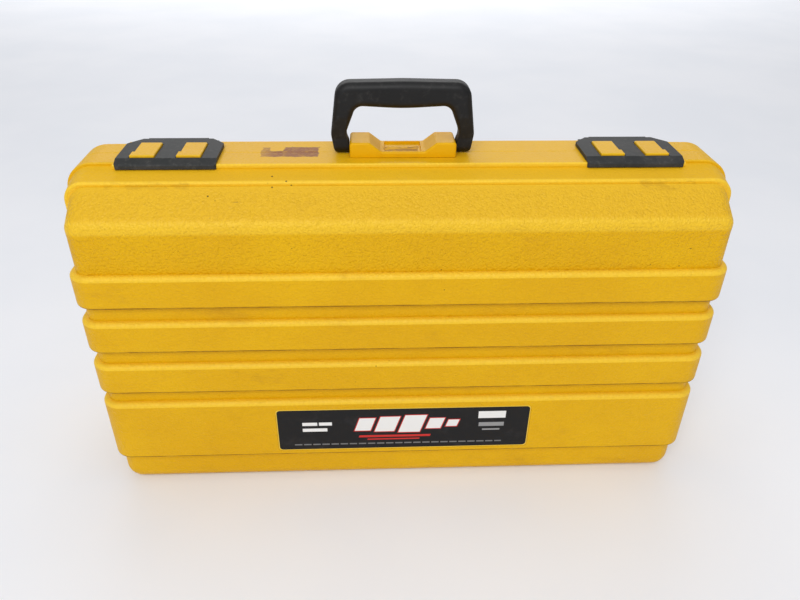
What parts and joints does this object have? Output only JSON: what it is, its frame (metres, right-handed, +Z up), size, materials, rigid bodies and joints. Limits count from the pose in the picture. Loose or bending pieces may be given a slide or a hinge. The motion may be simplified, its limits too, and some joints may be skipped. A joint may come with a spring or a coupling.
{
  "type": "laser level carrying case",
  "caption": "Closed hard case for a rotating laser level, standing on its hinge side: ribbed yellow shells, swinging handle, hasp latches, hinged lid and foam cradles.",
  "frame": {"origin": "middle of the bottom, in the plane where lid and base meet", "axes": "+X along the case to its right as seen from the label side, +Y from lid to base, +Z up to the handle"},
  "size_m": [0.613, 0.18, 0.4049],
  "materials": {
    "shell_yellow": "pebble grain",
    "bracket_yellow": "satin",
    "latch_black": "fine grain",
    "handle_black": "fine grain",
    "label_black": "smooth",
    "foam_grey": "open-cell foam",
    "steel": "plated",
    "dark_steel": "blackened"
  },
  "bodies": {
    "base": {"base_shell": "shell_yellow", "foam_base_pad": "foam_grey", "foam_base_cradle": "foam_grey", "handle_bracket": "bracket_yellow", "left_handle_pin": "steel", "right_handle_pin": "steel", "bracket_screws": "dark_steel", "left_latch_mount": "latch_black", "right_latch_mount": "latch_black", "left_latch_pin": "dark_steel", "right_latch_pin": "dark_steel", "latch_mount_screws": "dark_steel", "left_hinge_base_leaf": "steel", "right_hinge_base_leaf": "steel", "left_hinge_pin": "steel", "right_hinge_pin": "steel", "hinge_base_screws": "dark_steel"},
    "lid": {"lid_shell": "shell_yellow", "latch_lugs": "shell_yellow", "foam_lid_pad": "foam_grey", "foam_lid_cradle": "foam_grey", "label_plate": "label_black", "left_hinge_lid_leaf": "steel", "right_hinge_lid_leaf": "steel", "hinge_lid_screws": "dark_steel"},
    "left_hasp": {"left_latch": "latch_black"},
    "right_hasp": {"right_latch": "latch_black"},
    "handle": {"carry_handle": "handle_black"}
  },
  "joints": [
    {"name": "lid_hinge", "type": "hinge", "parent": "base", "child": "lid", "pos_m": [0, 0, 0.0095], "axis": [1, 0, 0], "range_deg": [0, 140]},
    {"name": "left_hasp_hinge", "type": "hinge", "parent": "base", "child": "left_hasp", "pos_m": [-0.213, 0.0345, 0.3335], "axis": [-1, 0, 0], "range_deg": [0, 112]},
    {"name": "right_hasp_hinge", "type": "hinge", "parent": "base", "child": "right_hasp", "pos_m": [0.213, 0.0345, 0.3335], "axis": [-1, 0, 0], "range_deg": [0, 112]},
    {"name": "handle_hinge", "type": "hinge", "parent": "base", "child": "handle", "pos_m": [0, 0, 0.3455], "axis": [1, 0, 0], "range_deg": [-80, 80]}
  ]
}
